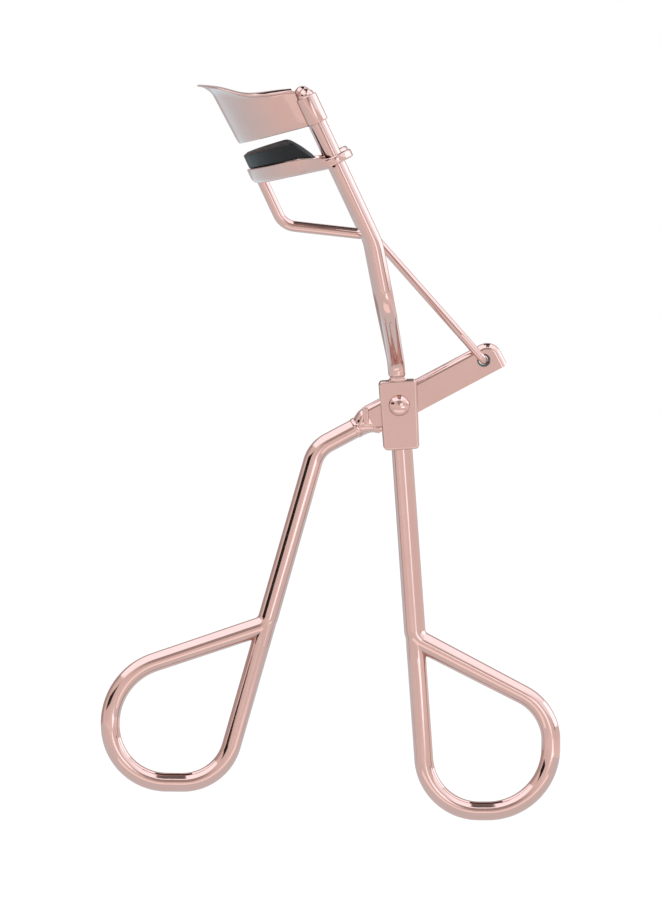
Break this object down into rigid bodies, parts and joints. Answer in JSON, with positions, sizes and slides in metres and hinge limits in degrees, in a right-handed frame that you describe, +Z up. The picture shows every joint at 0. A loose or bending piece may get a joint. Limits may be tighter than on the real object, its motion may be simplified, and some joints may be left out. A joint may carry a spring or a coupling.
{
  "type": "eyelash curler",
  "caption": "Hand-held eyelash curler: wire handles with finger loops work a riveted lever and a bent link that push a padded jaw up its guide rods against a curved upper jaw.",
  "frame": {"origin": "on the axis of the lever's rivet, midway between the bracket's plates", "axes": "+Z up from the finger loops to the jaws, +Y along the rivet away from its domed head, +X from the moving handle towards the fixed handle"},
  "size_m": [0.0663, 0.0354, 0.106],
  "materials": {
    "rose_gold_plate": "polished rose-gold plate",
    "black_silicone": "smooth black silicone"
  },
  "bodies": {
    "frame": {"upper_jaw": "rose_gold_plate", "guide_rod_near": "rose_gold_plate", "guide_rod_far": "rose_gold_plate", "bracket_front_plate": "rose_gold_plate", "bracket_back_plate": "rose_gold_plate", "pivot_rivet": "rose_gold_plate", "fixed_handle": "rose_gold_plate"},
    "lever": {"lever_arm": "rose_gold_plate", "moving_handle": "rose_gold_plate"},
    "jaw": {"moving_jaw": "rose_gold_plate", "lash_pad": "black_silicone", "link_wire": "rose_gold_plate"}
  },
  "joints": [
    {"name": "handle_squeeze", "type": "hinge", "parent": "frame", "child": "lever", "pos_m": [0, 0, 0], "axis": [0, -1, 0], "range_deg": [-25, 4.2]},
    {"name": "jaw_follow", "type": "hinge", "parent": "lever", "child": "jaw", "pos_m": [0.01218, 0, 0.00648], "axis": [0, -1, 0], "range_deg": [-4.1, 23.9]}
  ],
  "couplings": [
    {"joint": "jaw_follow", "follows": "handle_squeeze", "ratio": -0.951}
  ]
}
